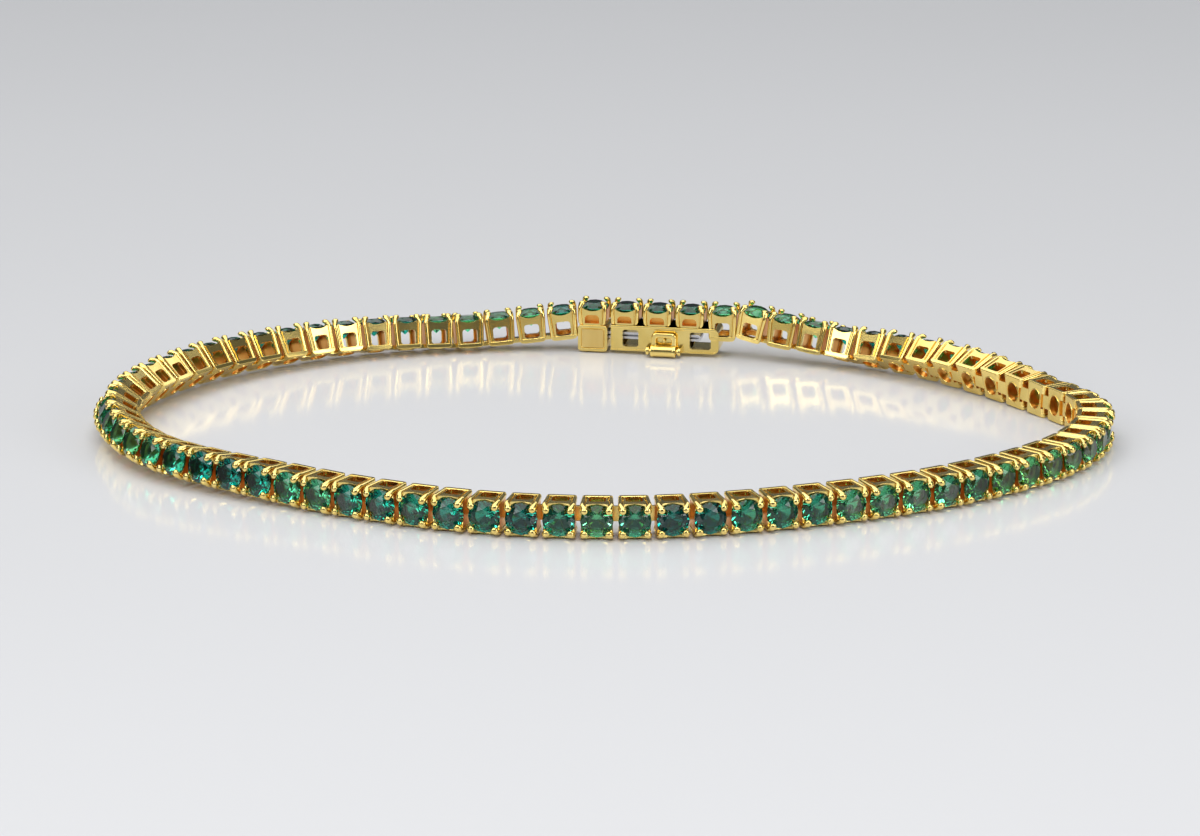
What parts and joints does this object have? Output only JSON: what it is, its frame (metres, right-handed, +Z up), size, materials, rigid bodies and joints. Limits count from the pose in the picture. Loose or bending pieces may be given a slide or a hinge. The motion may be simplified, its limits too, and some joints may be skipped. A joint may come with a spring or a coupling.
{
  "type": "tennis bracelet",
  "caption": "Closed gold tennis bracelet: a hinged row of round green stones in square claw settings, with a box clasp and side safety catch.",
  "frame": {"origin": "under the middle of the bracelet's bounding box, on the surface that it lies on", "axes": "+Z up; the front of the loop, with its stones facing out, is at -Y and the clasp at +Y"},
  "size_m": [0.0714, 0.0516, 0.0042],
  "materials": {
    "gold": "polished yellow gold",
    "white_metal": "satin white metal",
    "green_stone": "faceted and polished"
  },
  "bodies": {
    "bracelet": {"chain_left": "gold", "chain_right": "gold", "clasp_tongue": "gold", "tongue_spring": "white_metal", "clasp_box": "gold", "clasp_stone_1": "green_stone", "clasp_stone_2": "green_stone", "clasp_stone_3": "green_stone", "clasp_stone_4": "green_stone", "clasp_stone_5": "green_stone"},
    "latch": {"safety_latch": "gold"}
  },
  "joints": [
    {"name": "latch_hinge", "type": "hinge", "parent": "bracelet", "child": "latch", "pos_m": [0.00458, 0.02161, 0.0005], "axis": [0.9843, -0.1763, 0], "range_deg": [0, 110]}
  ]
}
